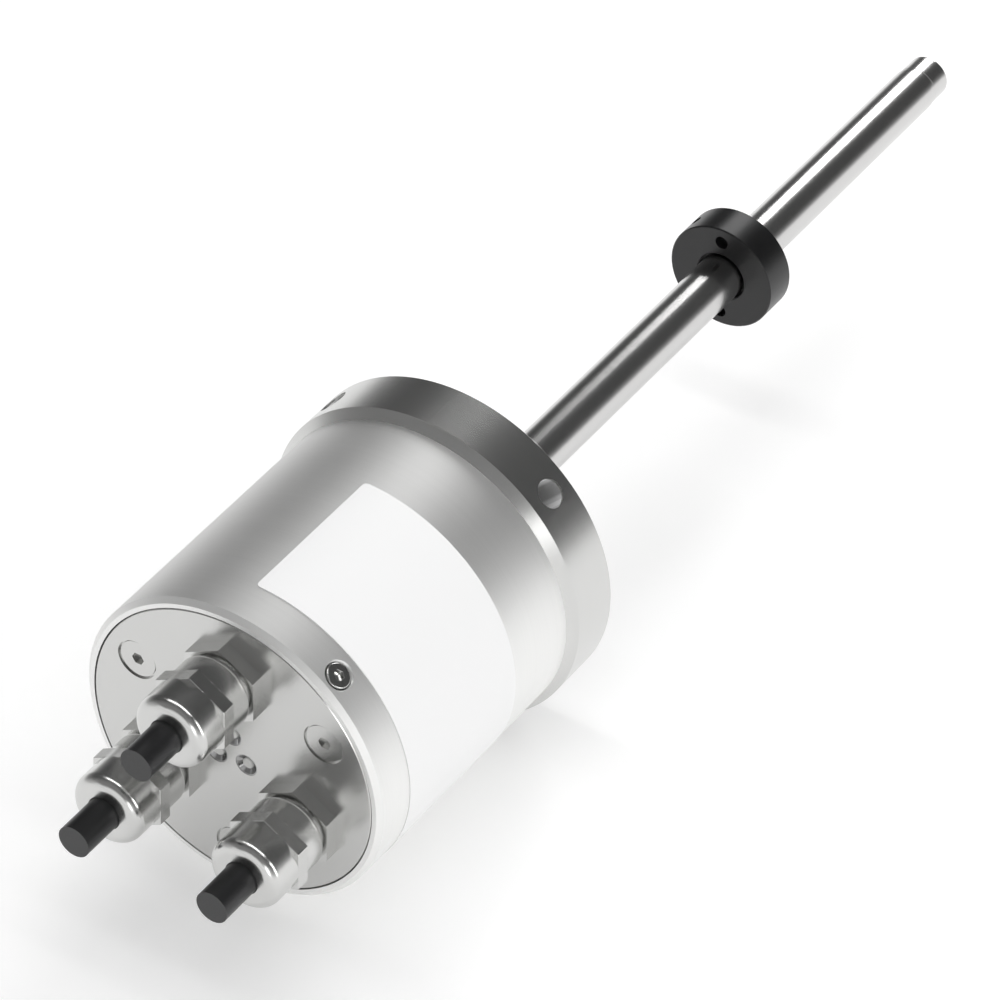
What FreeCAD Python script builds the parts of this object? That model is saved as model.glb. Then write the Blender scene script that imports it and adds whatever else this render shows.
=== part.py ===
import FreeCAD, Part
import math
import os
import Sketcher

# Magnetostrictive linear position sensor with three measuring channels.
# Frame: origin at the centre of the flange's mounting face, +X along the rod
# towards its tip, +Z up. The housing, cover and cable glands lie towards -X.

doc = FreeCAD.newDocument("linear_position_sensor")
sheet = doc.addObject("Spreadsheet::Sheet", "Sizes")
rows_written = 0

# The sensor has one gland, cable, lamp and set of electronics for each channel.
CHANNEL_ANGLES = {1: 90, 2: 210, 3: 330}
PILLAR_ANGLES = {1: 30, 2: 150, 3: 270}
SPANNER_ANGLES = (45, 135, 225, 315)
LOCK_SCREW_ANGLE = 130
MAGNET_AXIAL_ANGLES = (90, 270)
MAGNET_RADIAL_ANGLE = 45
LABEL_START_ANGLE = 90


class Size:
    """A length with its value and the sheet expression that it is bound to."""

    def __init__(self, value, text):
        self.value = value
        self.text = text

    def joined(self, sign, other, value):
        text = other.text if isinstance(other, Size) else repr(other)
        return Size(value, "(" + self.text + " " + sign + " " + text + ")")

    def __add__(self, other):
        return self.joined("+", other, self.value + number(other))

    def __sub__(self, other):
        return self.joined("-", other, self.value - number(other))

    def __mul__(self, other):
        return self.joined("*", other, self.value * number(other))

    def __truediv__(self, other):
        return self.joined("/", other, self.value / number(other))

    def __neg__(self):
        return Size(-self.value, "(-1 * " + self.text + ")")


def number(item):
    return item.value if isinstance(item, Size) else float(item)


def size(alias, value, meaning):
    """Write one driving dimension to the sheet and return it."""
    global rows_written
    rows_written += 1
    row = str(rows_written)
    sheet.set("A" + row, meaning)
    sheet.set("B" + row, str(value))
    sheet.setAlias("B" + row, alias)
    return Size(float(value), "Sizes." + alias)


def cosine(angle):
    """Cosine of an angle given in degrees, as a plain number or a sheet value."""
    if isinstance(angle, Size):
        return Size(math.cos(math.radians(angle.value)), "cos(" + angle.text + ")")
    return math.cos(math.radians(angle))


ZERO = Size(0.0, "0")

# Flange
flange_dia = size("flange_dia", 89.5, "flange, outer diameter")
flange_rim = size("flange_rim", 14.7, "flange, length of the round rim")
flange_chamfer = size("flange_chamfer", 2.3, "flange, chamfer behind the rim")
flange_edge = size("flange_edge", 0.6, "flange, front edge break")
spigot_length = size("spigot_length", 10, "flange, ring that enters the housing tube")
spigot_wall = size("spigot_wall", 6, "flange, wall of that ring")
stud_dia = size("stud_dia", 22, "mounting thread, outside diameter")
stud_length = size("stud_length", 25, "mounting thread, length")
stud_chamfer = size("stud_chamfer", 1.5, "mounting thread, end chamfer")
spanner_hole_dia = size("spanner_hole_dia", 7.5, "holes round the rim, diameter")
spanner_hole_depth = size("spanner_hole_depth", 12, "holes round the rim, depth")
spanner_hole_setback = size("spanner_hole_setback", 7.5, "holes round the rim, from the front face")
face_groove_gap = size("face_groove_gap", 3.5, "seal groove in the front face, from the thread")

# Housing tube and label
housing_dia = size("housing_dia", 85, "housing tube, outer diameter")
housing_wall = size("housing_wall", 2.5, "housing tube, wall")
housing_length = size("housing_length", 78.8, "housing tube, length")
housing_bevel = size("housing_bevel", 1.3, "housing tube, bevel at the rear edge")
label_length = size("label_length", 44.5, "label, size along the rod axis")
label_arc = size("label_arc", 135, "label, angle that it wraps, in degrees")
label_thickness = size("label_thickness", 0.15, "label, thickness")
label_setback = size("label_setback", 12, "label, from the rear edge of the tube")
label_corner = size("label_corner", 1.2, "label, corner radius")

# Cover and its screws
cover_thickness = size("cover_thickness", 15, "cover, thickness")
cover_edge = size("cover_edge", 0.2, "cover, edge break")
cover_screw_inset = size("cover_screw_inset", 9.2, "cover screws, centres from the tube's bore")
cover_screw_dia = size("cover_screw_dia", 5, "cover screws, thread")
cover_screw_head = size("cover_screw_head", 10, "cover screws, head diameter")
cover_screw_rim = size("cover_screw_rim", 0.3, "cover screws, straight rim of the head")
cover_screw_length = size("cover_screw_length", 23, "cover screws, whole length")
cover_screw_socket = size("cover_screw_socket", 3, "cover screws, socket across flats")
cover_screw_sunk = size("cover_screw_sunk", 0.4, "cover screws, head below the surface")
cover_screw_play = size("cover_screw_play", 0.5, "cover screws, gap round the head")
lock_screw_dia = size("lock_screw_dia", 3, "side screw, thread")
lock_screw_head = size("lock_screw_head", 5.5, "side screw, head diameter")
lock_screw_height = size("lock_screw_height", 3, "side screw, head height")
lock_screw_socket = size("lock_screw_socket", 2.5, "side screw, socket across flats")
lock_screw_length = size("lock_screw_length", 8, "side screw, thread length")
lock_screw_hole = size("lock_screw_hole", 7, "side screw, hole in the tube")
lock_screw_setback = size("lock_screw_setback", 6.1, "side screw, from the rear face")
lock_screw_sunk = size("lock_screw_sunk", 0.3, "side screw, head below the surface")
lock_screw_bevel = size("lock_screw_bevel", 0.5, "side screw, bevel of the hole's edge")
socket_depth = size("socket_depth", 1.8, "depth of the screws' sockets")

# Cable glands and cables
gland_radius = size("gland_radius", 22.9, "glands, distance from the axis")
gland_hex = size("gland_hex", 19.6, "glands, hexagons across flats")
gland_hex_corner = size("gland_hex_corner", 22.5, "glands, hexagons across the turned corners")
gland_hex_turn = size("gland_hex_turn", 2, "glands, turn of the hexagons, in degrees")
gland_base_hex = size("gland_base_hex", 3.8, "gland body, hexagon thickness")
gland_collar = size("gland_collar", 7.6, "gland body, collar length")
gland_neck = size("gland_neck", 0.7, "gland body, neck between collar and hexagon")
gland_shoulder = size("gland_shoulder", 1.5, "gland body, rounding of the collar")
gland_cap_hex = size("gland_cap_hex", 3.85, "gland nut, hexagon thickness")
gland_barrel = size("gland_barrel", 6.2, "gland nut, straight barrel")
gland_barrel_dia = size("gland_barrel_dia", 19.7, "gland nut and collar, diameter")
gland_mouth_room = size("gland_mouth_room", 0.15, "gland nut, room round the cable at the mouth")
gland_mouth_round = size("gland_mouth_round", 0.35, "gland nut, rounding of the mouth")
gland_land = size("gland_land", 2, "gland nut, flat ring in front")
gland_nut_wall = size("gland_nut_wall", 2.1, "gland nut, wall")
gland_thread = size("gland_thread", 16, "gland body, thread in the cover")
gland_thread_length = size("gland_thread_length", 10, "gland body, thread length in the cover")
gland_top_length = size("gland_top_length", 6, "gland body, thread length under the nut")
gland_top_wall = size("gland_top_wall", 1.2, "gland body, wall round the seal")
gland_bore_room = size("gland_bore_room", 0.8, "gland body, room round the cable")
gland_seal_length = size("gland_seal_length", 9, "gland seal, length")
gland_seal_front = size("gland_seal_front", 3, "gland seal, length in front of the gland body")
gland_ring_cord = size("gland_ring_cord", 1.2, "sealing ring under the gland, section")
cable_dia = size("cable_dia", 8.7, "cables, diameter")
cable_stub = size("cable_stub", 11.6, "cables, length in front of the gland nut")

# Lamps in the cover
lamp_radius = size("lamp_radius", 4.9, "lamps, distance from the axis")
lamp_dia = size("lamp_dia", 6, "lamps, holder diameter")
lamp_lens_dia = size("lamp_lens_dia", 3, "lamps, lens diameter")
lamp_depth = size("lamp_depth", 4, "lamps, pocket depth")
lamp_sunk = size("lamp_sunk", 0.1, "lamps, holder below the surface")
lamp_rim = size("lamp_rim", 0.25, "lamps, flat rim of the holder")
lamp_cone = size("lamp_cone", 1.1, "lamps, depth of the holder's cone")
lamp_lens_sunk = size("lamp_lens_sunk", 0.4, "lamps, lens below the surface")
lamp_lens_crown = size("lamp_lens_crown", 0.5, "lamps, rounding of the lens")

# Measuring rod and magnet
rod_dia = size("rod_dia", 12.7, "rod, diameter")
rod_wall = size("rod_wall", 1.6, "rod, wall")
rod_length = size("rod_length", 230.3, "rod, from the flange face to the tip")
rod_plug = size("rod_plug", 7, "rod, visible length of the end plug")
rod_tip_depth = size("rod_tip_depth", 0.33, "rod, depth by which the tip is turned down")
rod_tip_run = size("rod_tip_run", 1.6, "rod, turned-down length before the seam")
rod_tip_round = size("rod_tip_round", 0.8, "rod, rounding of the tip")
rod_step = size("rod_step", 0.4, "rod, length of the step")
plug_spigot = size("plug_spigot", 8, "end plug, length inside the tube")
seam_bevel = size("seam_bevel", 0.15, "seam at the plug, bevel each side")
magnet_dia = size("magnet_dia", 30.4, "magnet ring, outer diameter")
magnet_play = size("magnet_play", 0.6, "magnet ring, room round the rod")
magnet_thickness = size("magnet_thickness", 9.8, "magnet ring, thickness")
magnet_edge = size("magnet_edge", 0.3, "magnet ring, edge break")
magnet_place = size("magnet_place", 122.3, "magnet ring, rear face from the flange face")
magnet_hole_dia = size("magnet_hole_dia", 3.7, "magnet ring, axial holes")
magnet_side_hole = size("magnet_side_hole", 3, "magnet ring, radial hole")

# Inside
pillar_dia = size("pillar_dia", 10, "tie pillars, diameter")
pillar_foot_dia = size("pillar_foot_dia", 6, "tie pillars, foot thread")
pillar_foot_length = size("pillar_foot_length", 8, "tie pillars, foot length")
pillar_tap_room = size("pillar_tap_room", 4, "tie pillars, tapped depth beyond the cover screw")
carrier_plate = size("carrier_plate", 3, "carrier, plate thickness")
carrier_room = size("carrier_room", 4.8, "carrier, from the core's end to the cover")
carrier_face = size("carrier_face", 13, "carrier, core face from the axis")
carrier_wall = size("carrier_wall", 2.2, "carrier, core wall")
carrier_corner = size("carrier_corner", 22, "carrier, core corners from the axis")
board_thickness = size("board_thickness", 1.6, "boards, thickness")
board_width = size("board_width", 34, "boards, width")
board_setback = size("board_setback", 2, "boards, from both ends of the core")
board_screw_dia = size("board_screw_dia", 2.5, "board screws, thread")
board_screw_head = size("board_screw_head", 4.5, "board screws, head diameter")
board_screw_height = size("board_screw_height", 1.6, "board screws, head height")
board_screw_inset = size("board_screw_inset", 4, "board screws, from the board's edges")
chip_height = size("chip_height", 1.8, "main chip, height")
chip_side = size("chip_side", 12, "main chip, side")
can_dia = size("can_dia", 8, "capacitor can, diameter")
can_height = size("can_height", 9, "capacitor can, height")
part_edge = size("part_edge", 2, "chip and capacitor, from the board's edges")
terminal_length = size("terminal_length", 10, "terminal blocks, length")
terminal_width = size("terminal_width", 13, "terminal blocks, width")
terminal_wall = size("terminal_wall", 1.2, "terminal blocks, wall over the cable")
terminal_entry = size("terminal_entry", 4, "terminal blocks, depth that the cable enters")
terminal_inset = size("terminal_inset", 1, "terminal blocks, from the board's rear edge")
guide_dia = size("guide_dia", 2.9, "waveguides with sleeve, diameter")
guide_rim = size("guide_rim", 0.35, "waveguides, from the wall of the rod")
guide_start = size("guide_start", 30, "waveguides, start behind the flange's inner face")
coil_gap = size("coil_gap", 0.5, "pickup coils, gap between neighbours")
coil_length = size("coil_length", 16, "pickup coils, length")
coil_rim = size("coil_rim", 0.8, "pickup coils, rims of the bobbin")
coil_wind = size("coil_wind", 0.3, "pickup coils, winding below the rims")
coil_start = size("coil_start", 2, "pickup coils, from the inner end of the waveguide")
spacer_length = size("spacer_length", 4, "waveguide spacers, length")
damper_length = size("damper_length", 14, "end damper, length")
damper_gap = size("damper_gap", 1, "end damper, from the plug")

# Clearances and seals
slip = size("slip", 0.05, "clearance between parts that fit together")
cover_gap = size("cover_gap", 0.3, "clearance between cover and tube, the dark seam")
seal_cord = size("seal_cord", 1.9, "sealing rings of tube and cover, section as squeezed")
seal_squeeze = size("seal_squeeze", 0.1, "room left beside a squeezed sealing ring")
seal_side = size("seal_side", 0.4, "room along a sealing ring in its groove")
seal_lip = size("seal_lip", 1.6, "wall between a seal groove and the end of its part")

# Places worked out from the sizes, measured along the axis from the flange face
flange_thickness = flange_rim + flange_chamfer
housing_front = -flange_thickness
cover_face = -(flange_thickness + housing_length)
cover_inner = cover_face + cover_thickness
housing_bore = housing_dia / 2 - housing_wall
gland_hex_front = cover_face - gland_base_hex
gland_collar_front = gland_hex_front - gland_collar
gland_barrel_start = gland_collar_front - gland_cap_hex
gland_mouth = cable_dia / 2 + gland_mouth_room
gland_face = gland_mouth + gland_mouth_round + gland_land
gland_nose = gland_barrel_dia / 2 - gland_face
gland_front = gland_barrel_start - gland_barrel - gland_nose
gland_top = gland_collar_front - gland_top_length
rod_seam = rod_length - rod_plug
damper_start = rod_seam - plug_spigot - damper_gap - damper_length
carrier_front = housing_front - spigot_length
carrier_rear = cover_inner + carrier_room
carrier_length = carrier_front - carrier_plate - carrier_rear
board_length = carrier_length - board_setback * 2
board_rear = carrier_rear + board_setback
board_front = board_rear + board_length
terminal_rear = board_rear + terminal_inset

# Radii worked out from the sizes
cover_screw_radius = housing_bore - cover_screw_inset
face_groove_radius = stud_dia / 2 + face_groove_gap + seal_cord / 2 + seal_squeeze
rod_bore = rod_dia / 2 - rod_wall
rod_tip = rod_dia / 2 - rod_tip_depth
magnet_bore = rod_dia / 2 + magnet_play
magnet_hole_radius = (magnet_bore + magnet_dia / 2) / 2
gland_barrel_radius = gland_barrel_dia / 2
gland_top_thread = gland_barrel_radius - gland_nut_wall - slip
gland_seal_radius = gland_top_thread - gland_top_wall - slip
gland_ring_radius = gland_thread / 2 + seal_squeeze + gland_ring_cord / 2
board_top = carrier_face + board_thickness
guide_radius = rod_bore - guide_rim - guide_dia / 2


def bind(item, field, value):
    """Tie one property of an object to the sheet."""
    if isinstance(value, Size):
        item.setExpression(field, value.text)


def place(item, x, y=ZERO, z=ZERO, rotation=None):
    """Put an object at a point, with its place tied to the sheet."""
    turn = rotation if rotation is not None else FreeCAD.Rotation()
    base = FreeCAD.Vector(number(x), number(y), number(z))
    item.Placement = FreeCAD.Placement(base, turn)
    bind(item, "Placement.Base.x", x)
    bind(item, "Placement.Base.y", y)
    bind(item, "Placement.Base.z", z)


def plane_of(body, role):
    for feature in body.Origin.OriginFeatures:
        if feature.Role == role:
            return feature
    raise RuntimeError("no plane " + role)


def pin_point(sketch, curve, end, x, y, tag):
    """Hold one end of a curve at a point, by distances from the sketch's origin."""
    if number(x) == 0:
        sketch.addConstraint(Sketcher.Constraint("PointOnObject", curve, end, -2))
    else:
        index = sketch.addConstraint(Sketcher.Constraint("DistanceX", -1, 1, curve, end, number(x)))
        sketch.renameConstraint(index, "x" + tag)
        bind(sketch, "Constraints.x" + tag, x)
    if number(y) == 0:
        sketch.addConstraint(Sketcher.Constraint("PointOnObject", curve, end, -1))
    else:
        index = sketch.addConstraint(Sketcher.Constraint("DistanceY", -1, 1, curve, end, number(y)))
        sketch.renameConstraint(index, "y" + tag)
        bind(sketch, "Constraints.y" + tag, y)


def quarter_arc(start, end, along_x):
    """Quarter circle from start to end that leaves start along X, or along Y."""
    centre = FreeCAD.Vector(start.x, end.y, 0) if along_x else FreeCAD.Vector(end.x, start.y, 0)
    radius = (start - centre).Length
    first = math.atan2(start.y - centre.y, start.x - centre.x)
    last = math.atan2(end.y - centre.y, end.x - centre.x)
    turn = (last - first) % (2 * math.pi)
    forward = turn < math.pi
    circle = Part.Circle(centre, FreeCAD.Vector(0, 0, 1), radius)
    if forward:
        return Part.ArcOfCircle(circle, first, first + turn), True
    return Part.ArcOfCircle(circle, last, last + 2 * math.pi - turn), False


def draw_outline(sketch, outline):
    """Closed outline of (x, radius) corners, where a third entry "arc" is a quarter round.

    Each corner is held by its own two distances. An arc runs on smoothly from the
    line before it, so its radius follows from its two ends.
    """
    corners = [FreeCAD.Vector(number(c[0]), number(c[1]), 0) for c in outline]
    count = len(outline)
    ends = []
    for i in range(count):
        start = corners[i - 1]
        end = corners[i]
        if len(outline[i]) == 3:
            along_x = abs(start.y - corners[i - 2].y) < abs(start.x - corners[i - 2].x)
            arc, forward = quarter_arc(start, end, along_x)
            sketch.addGeometry(arc, False)
            ends.append((1, 2) if forward else (2, 1))
        else:
            sketch.addGeometry(Part.LineSegment(start, end), False)
            ends.append((1, 2))
    for i in range(count):
        kind = "Tangent" if len(outline[i]) == 3 else "Coincident"
        sketch.addConstraint(Sketcher.Constraint(kind, (i - 1) % count, ends[i - 1][1], i, ends[i][0]))
        pin_point(sketch, i, ends[i][1], outline[i][0], outline[i][1], str(i))


def turned(label, outline, x=ZERO, y=ZERO, z=ZERO, rotation=None, sweep=None):
    """Body turned about its own X axis from an outline of (x, radius) corners."""
    body = doc.addObject("PartDesign::Body", label)
    body.Label = label
    sketch = body.newObject("Sketcher::SketchObject", label + "_outline")
    sketch.AttachmentSupport = (plane_of(body, "XY_Plane"), [""])
    sketch.MapMode = "FlatFace"
    draw_outline(sketch, outline)
    turn = body.newObject("PartDesign::Revolution", label + "_turn")
    turn.Profile = sketch
    turn.ReferenceAxis = (sketch, ["H_Axis"])
    turn.Angle = 360 if sweep is None else number(sweep)
    if sweep is not None:
        bind(turn, "Angle", sweep)
    place(body, x, y, z, rotation)
    return body


def about_x(angle):
    """Turn about the rod axis."""
    return FreeCAD.Rotation(FreeCAD.Vector(1, 0, 0), angle)


def outwards(angle):
    """Turn that points an object's own Z away from the axis at an angle about it."""
    return about_x(angle - 90)


def forwards(angle=0):
    """Turn that points an object's own Z along the rod, then spins it about the rod."""
    return about_x(angle).multiply(FreeCAD.Rotation(FreeCAD.Vector(0, 1, 0), 90))


def cylinder(label, radius, height, x, y=ZERO, z=ZERO, rotation=None):
    item = doc.addObject("Part::Cylinder", label)
    item.Radius = number(radius)
    item.Height = number(height)
    bind(item, "Radius", radius)
    bind(item, "Height", height)
    place(item, x, y, z, rotation)
    return item


def cone(label, first, last, height, x, y=ZERO, z=ZERO, rotation=None):
    """Cone whose radius goes from first to last along its own Z."""
    item = doc.addObject("Part::Cone", label)
    for field, value in (("Radius1", first), ("Radius2", last), ("Height", height)):
        setattr(item, field, number(value))
        bind(item, field, value)
    place(item, x, y, z, rotation)
    return item


def box(label, along, wide, high, x, y=ZERO, z=ZERO, rotation=None):
    item = doc.addObject("Part::Box", label)
    for field, value in (("Length", along), ("Width", wide), ("Height", high)):
        setattr(item, field, number(value))
        bind(item, field, value)
    place(item, x, y, z, rotation)
    return item


def prism(label, sides, circumradius, height, x, y=ZERO, z=ZERO, rotation=None):
    item = doc.addObject("Part::Prism", label)
    item.Polygon = sides
    item.Circumradius = number(circumradius)
    item.Height = number(height)
    bind(item, "Circumradius", circumradius)
    bind(item, "Height", height)
    place(item, x, y, z, rotation)
    return item


def fused(label, items):
    item = doc.addObject("Part::MultiFuse", label)
    item.Shapes = items
    return item


def common(label, items):
    item = doc.addObject("Part::MultiCommon", label)
    item.Shapes = items
    return item


def cut(label, base, tools):
    item = doc.addObject("Part::Cut", label)
    item.Base = base
    item.Tool = tools[0] if len(tools) == 1 else fused(label + "_tools", tools)
    return item


def around(radius, angle):
    """Y and Z of a point at a distance from the axis and an angle about it."""
    return radius * cosine(angle), radius * cosine(angle - 90)


# How far a cut runs past the faces that it opens
OVER = 2.0
# Corner radius of a hexagon whose flats lie at a radius of one
HEX_RADIUS = 1 / math.cos(math.pi / 6)


def flange():
    """Turned disc with its mounting thread in front and a ring behind, bored for the rod."""
    rear = flange_thickness + spigot_length
    face = rear
    shoulder = spigot_length
    spigot = housing_bore - slip
    groove = spigot - seal_cord - seal_squeeze + slip
    lip = seal_lip + seal_cord + seal_side
    inner = spigot - spigot_wall
    bore = rod_dia / 2 + slip
    ring_in = face_groove_radius - seal_cord / 2 - seal_squeeze
    ring_out = face_groove_radius + seal_cord / 2 + seal_squeeze
    ring_floor = face - seal_cord - seal_squeeze
    outline = [
        (ZERO, inner), (ZERO, spigot), (seal_lip, spigot), (seal_lip, groove), (lip, groove),
        (lip, spigot), (shoulder, spigot), (shoulder, housing_dia / 2),
        (shoulder + flange_chamfer, flange_dia / 2), (face - flange_edge, flange_dia / 2),
        (face, flange_dia / 2 - flange_edge), (face, ring_out), (ring_floor, ring_out),
        (ring_floor, ring_in), (face, ring_in), (face, stud_dia / 2),
        (face + stud_length - stud_chamfer, stud_dia / 2),
        (face + stud_length, stud_dia / 2 - stud_chamfer), (face + stud_length, bore),
        (shoulder, bore), (shoulder, inner),
    ]
    body = turned("flange_turned", outline, -rear)
    tools = []
    for n, angle in enumerate(SPANNER_ANGLES, 1):
        y, z = around(flange_dia / 2 - spanner_hole_depth, angle)
        reach = spanner_hole_depth + OVER
        tools.append(cylinder("spanner_hole_%d" % n, spanner_hole_dia / 2, reach,
                              -spanner_hole_setback, y, z, outwards(angle)))
    for n, angle in PILLAR_ANGLES.items():
        y, z = around(cover_screw_radius, angle)
        tools.append(cylinder("pillar_seat_%d" % n, pillar_foot_dia / 2 + slip,
                              pillar_foot_length + slip + OVER, housing_front - OVER, y, z, forwards()))
        tools.append(cylinder("pillar_room_%d" % n, pillar_dia / 2 + cover_gap, spigot_length + OVER,
                              housing_front - spigot_length - OVER, y, z, forwards()))
    return cut("flange", body, tools)


def sealing_ring(label, x, radius, cord, y=ZERO, z=ZERO):
    """Round ring of round section, lying across the rod and centred at x, y and z."""
    item = doc.addObject("Part::Torus", label)
    item.Radius1 = number(radius)
    item.Radius2 = number(cord / 2)
    bind(item, "Radius1", radius)
    bind(item, "Radius2", cord / 2)
    place(item, x, y, z, forwards())
    return item


def housing_tube():
    """Tube between flange and cover, bevelled at the rear, with the side screw's hole."""
    outer = housing_dia / 2
    outline = [
        (ZERO, housing_bore), (ZERO, outer - housing_bevel), (housing_bevel, outer),
        (housing_length, outer), (housing_length, housing_bore),
    ]
    body = turned("housing_tube_turned", outline, cover_face)
    y, z = around(housing_bore - OVER, LOCK_SCREW_ANGLE)
    along = cover_face + lock_screw_setback
    hole = cylinder("lock_screw_hole_cut", lock_screw_hole / 2, housing_wall + OVER * 2, along, y, z,
                    outwards(LOCK_SCREW_ANGLE))
    y, z = around(outer - lock_screw_bevel, LOCK_SCREW_ANGLE)
    bevel = cone("lock_screw_bevel_cut", lock_screw_hole / 2, lock_screw_hole / 2 + lock_screw_bevel + OVER,
                 lock_screw_bevel + OVER, along, y, z, outwards(LOCK_SCREW_ANGLE))
    return cut("housing_tube", body, [hole, bevel])


def rating_label():
    """Thin label on the side of the tube, with rounded corners."""
    inner = housing_dia / 2 + slip / 2
    outer = inner + label_thickness
    outline = [(ZERO, inner), (ZERO, outer), (label_length, outer), (label_length, inner)]
    body = turned("rating_label", outline, cover_face + label_setback, ZERO, ZERO,
                  about_x(LABEL_START_ANGLE), label_arc)
    doc.recompute()
    shell = body.Tip
    corners = []
    for n, edge in enumerate(body.Shape.Edges, 1):
        if edge.Length < number(label_thickness) * 1.5:
            corners.append("Edge%d" % n)
    fillet = body.newObject("PartDesign::Fillet", "rating_label_corners")
    fillet.Base = (shell, corners)
    fillet.Radius = number(label_corner)
    bind(fillet, "Radius", label_corner)
    body.Tip = fillet
    return body


def rear_cover():
    """Disc in the tube's rear end, with holes for glands, screws and lamps."""
    outer = housing_bore - cover_gap
    groove = housing_bore - seal_cord - seal_squeeze
    lip = cover_thickness - seal_lip
    groove_start = lip - seal_cord - seal_side
    outline = [
        (ZERO, ZERO), (ZERO, outer - cover_edge), (cover_edge, outer), (groove_start, outer),
        (groove_start, groove), (lip, groove), (lip, outer), (cover_thickness, outer),
        (cover_thickness, ZERO),
    ]
    body = turned("rear_cover_turned", outline, cover_face)
    tools = []
    for n, angle in CHANNEL_ANGLES.items():
        y, z = around(gland_radius, angle)
        tools.append(cylinder("gland_hole_%d" % n, gland_thread / 2 + slip, cover_thickness + OVER * 2,
                              cover_face - OVER, y, z, forwards()))
        y, z = around(lamp_radius, angle)
        tools.append(cylinder("lamp_pocket_%d" % n, lamp_dia / 2 + slip, lamp_depth + OVER,
                              cover_face - OVER, y, z, forwards()))
        tools.append(cylinder("lamp_light_hole_%d" % n, lamp_lens_dia / 2, cover_thickness + OVER * 2,
                              cover_face - OVER, y, z, forwards()))
    for n, angle in PILLAR_ANGLES.items():
        y, z = around(cover_screw_radius, angle)
        mouth = cover_screw_head / 2 + cover_screw_play
        neck = cover_screw_dia / 2 + cover_gap / 2
        sink = cover_screw_sunk + cover_screw_rim
        tools.append(cylinder("screw_hole_%d" % n, neck, cover_thickness + OVER * 2,
                              cover_face - OVER, y, z, forwards()))
        tools.append(cylinder("screw_mouth_%d" % n, mouth, sink + OVER, cover_face - OVER, y, z, forwards()))
        tools.append(cone("screw_cone_%d" % n, cover_screw_head / 2 + slip, cover_screw_dia / 2 + slip,
                          (cover_screw_head - cover_screw_dia) / 2, cover_face + sink, y, z, forwards()))
    seat = housing_dia / 2 - lock_screw_sunk - lock_screw_height
    along = cover_face + lock_screw_setback
    y, z = around(seat - slip, LOCK_SCREW_ANGLE)
    tools.append(cylinder("lock_screw_seat", lock_screw_hole / 2, housing_wall + OVER, along, y, z,
                          outwards(LOCK_SCREW_ANGLE)))
    y, z = around(seat - lock_screw_length - slip, LOCK_SCREW_ANGLE)
    tools.append(cylinder("lock_screw_tap", lock_screw_dia / 2 + slip, lock_screw_length + OVER, along, y, z,
                          outwards(LOCK_SCREW_ANGLE)))
    return cut("rear_cover", body, tools)


def socket_cut(label, flats, x, y, z, rotation, lift):
    """Hexagonal socket: a six-sided prism whose own Z is the screw's axis."""
    return prism(label, 6, flats / 2 * HEX_RADIUS, socket_depth + lift, x, y, z, rotation)


def cover_screw(n, angle):
    """Countersunk socket screw."""
    head = cover_screw_head / 2
    thread = cover_screw_dia / 2
    cone_end = cover_screw_rim + head - thread
    outline = [
        (ZERO, ZERO), (ZERO, head), (cover_screw_rim, head), (cone_end, thread),
        (cover_screw_length, thread), (cover_screw_length, ZERO),
    ]
    y, z = around(cover_screw_radius, angle)
    x = cover_face + cover_screw_sunk
    body = turned("cover_screw_%d_turned" % n, outline, x, y, z)
    socket = socket_cut("cover_screw_%d_socket" % n, cover_screw_socket, x - OVER, y, z, forwards(angle),
                        OVER)
    return cut("cover_screw_%d" % n, body, [socket])


def cover_lock_screw():
    """Small socket head screw that enters the cover's rim through the tube."""
    along = cover_face + lock_screw_setback
    seat = housing_dia / 2 - lock_screw_sunk - lock_screw_height
    angle = LOCK_SCREW_ANGLE
    y, z = around(seat, angle)
    head = cylinder("lock_screw_head", lock_screw_head / 2, lock_screw_height, along, y, z, outwards(angle))
    y, z = around(seat - lock_screw_length, angle)
    thread = cylinder("lock_screw_thread", lock_screw_dia / 2, lock_screw_length, along, y, z,
                      outwards(angle))
    y, z = around(seat + lock_screw_height - socket_depth, angle)
    socket = socket_cut("lock_screw_socket_cut", lock_screw_socket, along, y, z, outwards(angle), OVER)
    whole = fused("lock_screw_whole", [head, thread])
    return cut("cover_lock_screw", whole, [socket])


def hexagon(label, x, thickness, y, z):
    """Gland hexagon, its corners turned off to a round."""
    turn = gland_hex_turn
    block = prism(label + "_flats", 6, gland_hex / 2 * HEX_RADIUS, thickness, x, y, z,
                  forwards(number(turn)))
    round_off = cylinder(label + "_round", gland_hex_corner / 2, thickness, x, y, z, forwards())
    return common(label, [block, round_off])


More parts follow.
